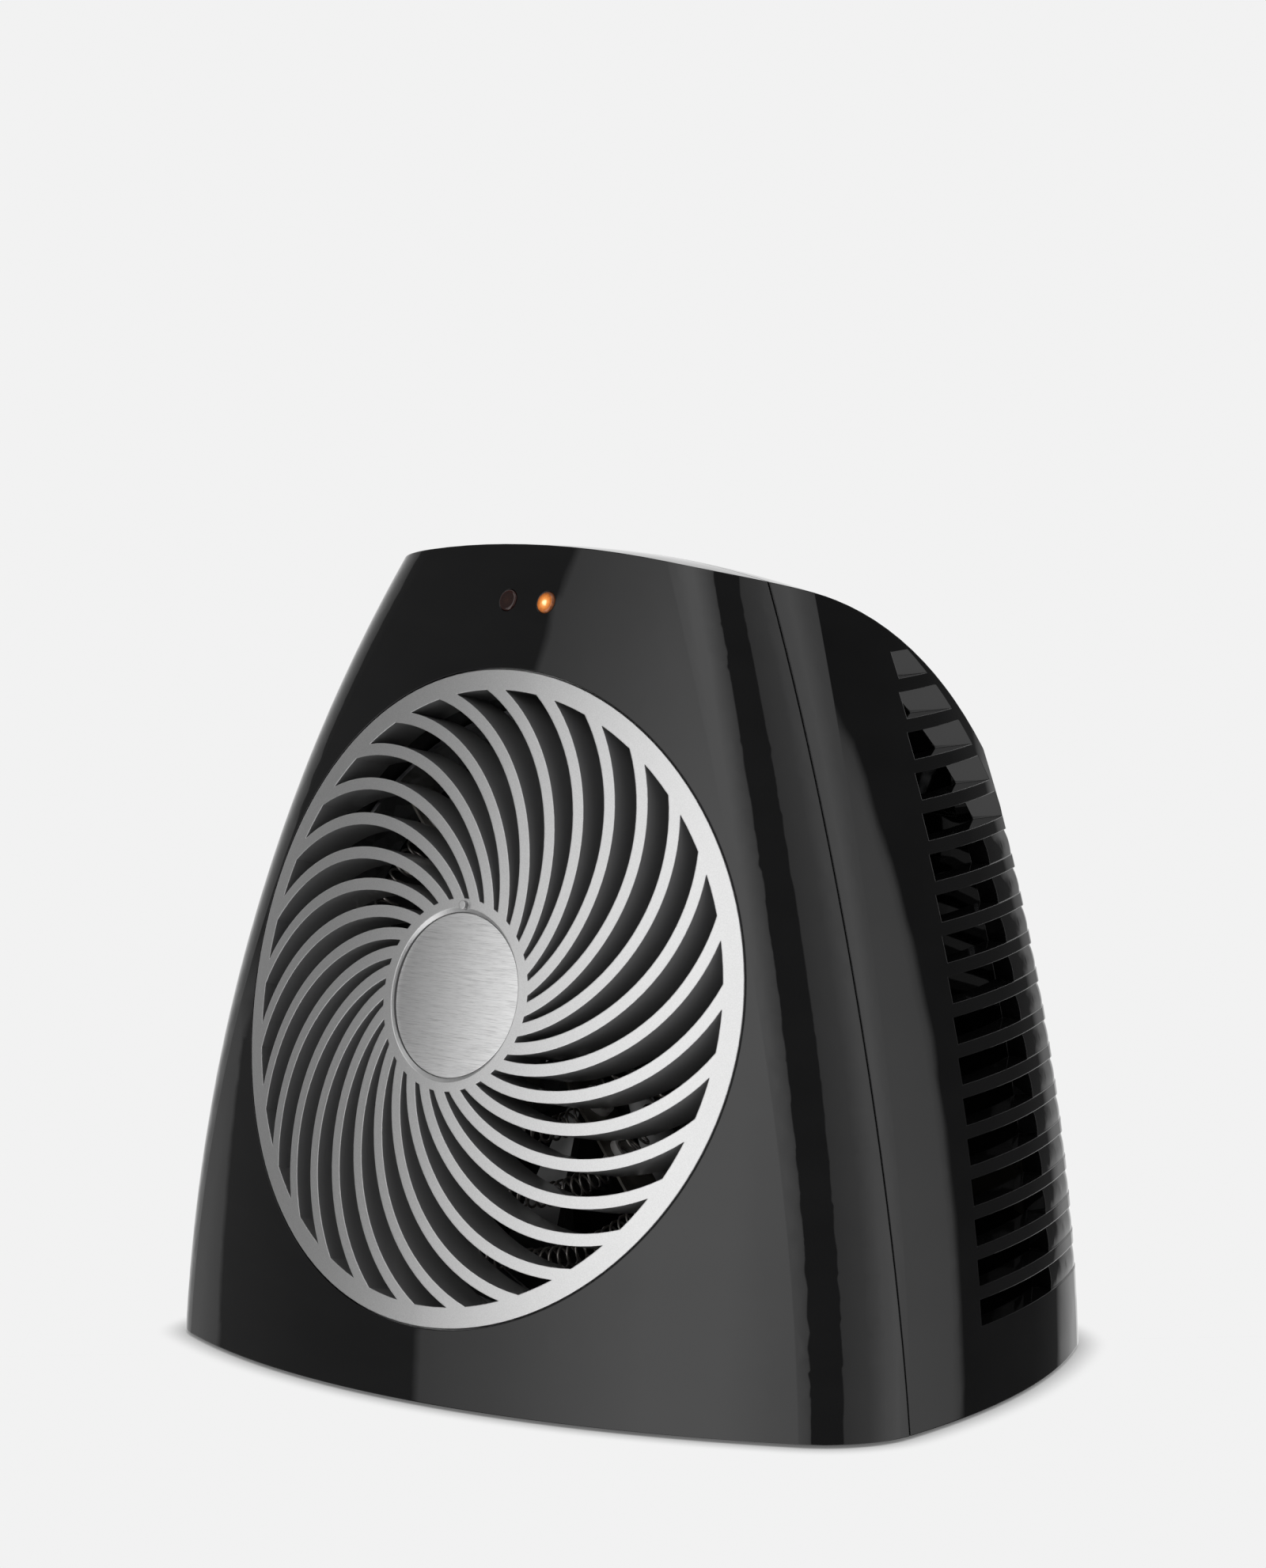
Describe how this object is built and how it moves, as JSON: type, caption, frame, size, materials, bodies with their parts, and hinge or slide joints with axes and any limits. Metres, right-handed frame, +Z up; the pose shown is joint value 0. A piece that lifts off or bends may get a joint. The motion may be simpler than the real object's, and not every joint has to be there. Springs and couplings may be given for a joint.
{
  "type": "space heater",
  "caption": "Compact free-standing fan heater: glossy black rounded shell, louvred sides, round silver grille of spiral ribs in front, two rear dials.",
  "frame": {"origin": "on the floor under the middle of the bounding box", "axes": "+Z up, -Y out of the front grille, +X to the viewer's right when facing the front"},
  "size_m": [0.262, 0.2136, 0.2335],
  "materials": {
    "black_gloss": "high gloss black moulding",
    "black_matte": "fine matte black moulding",
    "silver_paint": "satin silver paint over the spiral grille",
    "brushed_badge": "lengthwise brushed plate",
    "rubber_black": "soft matte rubber",
    "galvanised": "plain zinc coated sheet",
    "mica": "pressed mica board",
    "ceramic_white": "unglazed steatite",
    "coil_wire": "resistance wire, lightly oxidised",
    "fan_black": "heat resistant black nylon",
    "motor_steel": "dark grey motor enamel",
    "lamination": "stacked laminations",
    "shaft_steel": "ground steel",
    "brass_nut": "turned brass",
    "knob_black": "satin black grip",
    "lamp_dark": "unlit tinted lens",
    "lamp_amber": "lit amber lens",
    "board_green": "circuit board",
    "led_clear": "clear lamp body",
    "screw_steel": "zinc plated",
    "terminal_cream": "cream nylon"
  },
  "bodies": {
    "casing": {"front_panel": "black_gloss", "rear_housing": "black_gloss", "base_plate": "black_matte", "rubber_feet": "rubber_black", "front_grille": "silver_paint", "grille_badge": "brushed_badge", "air_duct": "black_matte", "element_rim": "galvanised", "mica_plates": "mica", "ceramic_core": "ceramic_white", "ceramic_bushes": "ceramic_white", "heater_coil_outer": "coil_wire", "heater_coil_middle": "coil_wire", "heater_coil_inner": "coil_wire", "cutout_bracket": "galvanised", "thermal_cutout": "black_matte", "motor_stator": "lamination", "motor_body": "motor_steel", "motor_front_cap": "motor_steel", "motor_rear_cap": "motor_steel", "front_bearing": "brass_nut", "rear_bearing": "brass_nut", "motor_bracket": "galvanised", "control_plate": "black_matte", "thermostat_body": "terminal_cream", "heat_switch": "terminal_cream", "control_nuts": "brass_nut", "power_lens": "lamp_dark", "heat_lens": "lamp_amber", "indicator_board": "board_green", "indicator_leds": "led_clear", "tip_switch_body": "terminal_cream", "tip_switch_spring": "shaft_steel", "cord_gland": "black_matte", "gland_nut": "black_matte", "terminal_block": "terminal_cream", "case_screws": "screw_steel", "base_screws": "screw_steel", "duct_screws": "screw_steel", "bracket_screws": "screw_steel", "motor_screws": "screw_steel"},
    "fan": {"impeller": "fan_black", "impeller_nut": "brass_nut", "motor_shaft": "shaft_steel", "motor_rotor": "lamination"},
    "thermostat_dial": {"thermostat_knob": "knob_black", "thermostat_shaft": "shaft_steel"},
    "heat_dial": {"heat_knob": "knob_black", "heat_switch_shaft": "shaft_steel"},
    "tip_plunger": {"tip_switch_plunger": "black_matte"}
  },
  "joints": [
    {"name": "fan_spin", "type": "hinge", "parent": "casing", "child": "fan", "pos_m": [0, -0.02728, 0.09769], "axis": [0, -0.9762, 0.2171], "continuous": true},
    {"name": "thermostat_turn", "type": "hinge", "parent": "casing", "child": "thermostat_dial", "pos_m": [-0.024, 0.05152, 0.18972], "axis": [0, 0.6947, 0.7193], "range_deg": [-270, 0]},
    {"name": "heat_turn", "type": "hinge", "parent": "casing", "child": "heat_dial", "pos_m": [0.024, 0.05152, 0.18972], "axis": [0, 0.6947, 0.7193], "range_deg": [-120, 0]},
    {"name": "tip_plunge", "type": "slide", "parent": "casing", "child": "tip_plunger", "axis": [0, 0, 1], "range_m": [-0.003, 0], "stiffness_N_per_m": 60, "springref_m": -0.003, "deforming": ["tip_switch_spring"]}
  ]
}
